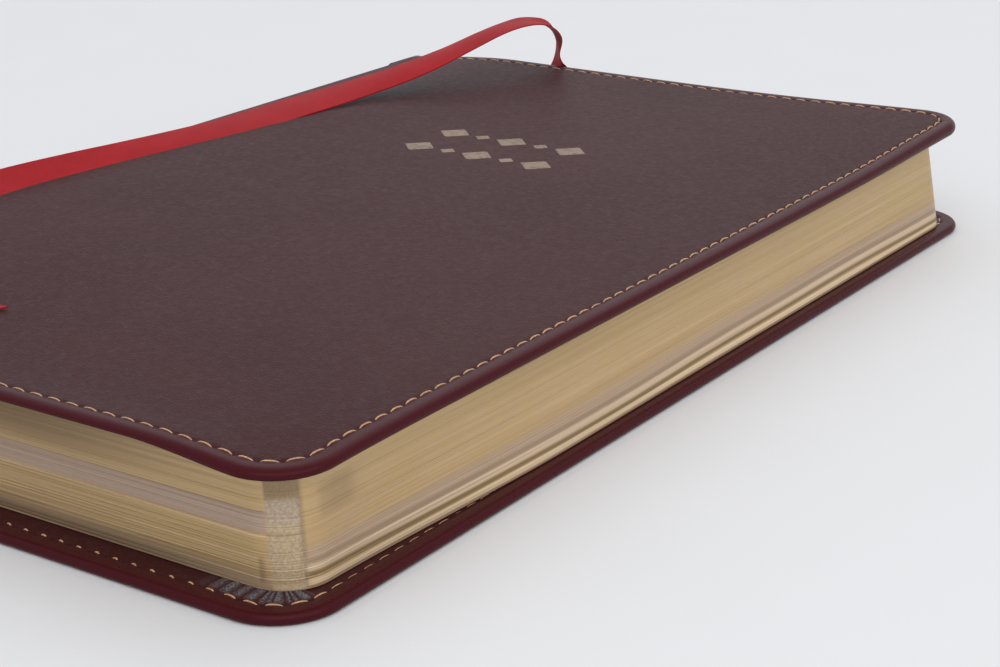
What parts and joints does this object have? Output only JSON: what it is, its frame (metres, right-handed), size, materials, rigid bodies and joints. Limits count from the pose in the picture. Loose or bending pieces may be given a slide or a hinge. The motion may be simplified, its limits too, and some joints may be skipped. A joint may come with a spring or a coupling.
{
  "type": "prayer book",
  "caption": "Prayer book in a limp stitched leather binding, with gilt leaves, hinged covers, a text block that opens at the middle, and a ribbon marker.",
  "frame": {"origin": "centre of the closed book's outline, on the underside of the back cover that it rests on", "axes": "+X from the spine to the fore-edge, +Y from the tail to the head, +Z from the back cover to the front cover"},
  "size_m": [0.14, 0.223, 0.0332],
  "materials": {
    "leather": "satin",
    "lining": "matte",
    "board": "matte",
    "thread": "satin",
    "foil": "satin",
    "ribbon": "satin",
    "cloth": "matte",
    "band": "matte",
    "end_leaf": "matte",
    "gilt_leaves": "satin"
  },
  "bodies": {
    "back_pages": {"spine_leather_lower": "leather", "spine_card_lower": "board", "spine_cloth_lower": "cloth", "head_band_lower": "band", "tail_band_lower": "band", "back_flyleaf": "end_leaf", "lower_signature_1": "gilt_leaves", "lower_signature_2": "gilt_leaves", "lower_signature_3": "gilt_leaves", "lower_signature_4": "gilt_leaves", "lower_signature_5": "gilt_leaves", "lower_signature_6": "gilt_leaves", "lower_signature_7": "gilt_leaves", "lower_signature_8": "gilt_leaves"},
    "front_pages": {"spine_leather_upper": "leather", "spine_card_upper": "board", "spine_cloth_upper": "cloth", "head_band_upper": "band", "tail_band_upper": "band", "front_flyleaf": "end_leaf", "upper_signature_1": "gilt_leaves", "upper_signature_2": "gilt_leaves", "upper_signature_3": "gilt_leaves", "upper_signature_4": "gilt_leaves", "upper_signature_5": "gilt_leaves", "upper_signature_6": "gilt_leaves", "upper_signature_7": "gilt_leaves", "upper_signature_8": "gilt_leaves"},
    "front_cover": {"front_cover_leather": "leather", "front_cover_board": "board", "front_cover_lining": "lining", "front_cover_stitching": "thread", "front_cover_ornament": "foil", "ribbon_outer": "ribbon", "ribbon_inner": "ribbon"},
    "back_cover": {"back_cover_leather": "leather", "back_cover_board": "board", "back_cover_lining": "lining", "back_cover_stitching": "thread"}
  },
  "joints": [
    {"name": "page_opening", "type": "hinge", "parent": "back_pages", "child": "front_pages", "pos_m": [-0.0702, 0, 0.0108], "axis": [0, -1, 0], "range_deg": [0, 180]},
    {"name": "front_cover_hinge", "type": "hinge", "parent": "front_pages", "child": "front_cover", "pos_m": [-0.0702, 0, 0.02175], "axis": [0, 1, 0], "range_deg": [-160, 0]},
    {"name": "back_cover_hinge", "type": "hinge", "parent": "back_pages", "child": "back_cover", "pos_m": [-0.0702, 0, -0.00015], "axis": [0, -1, 0], "range_deg": [-155, 0]}
  ]
}
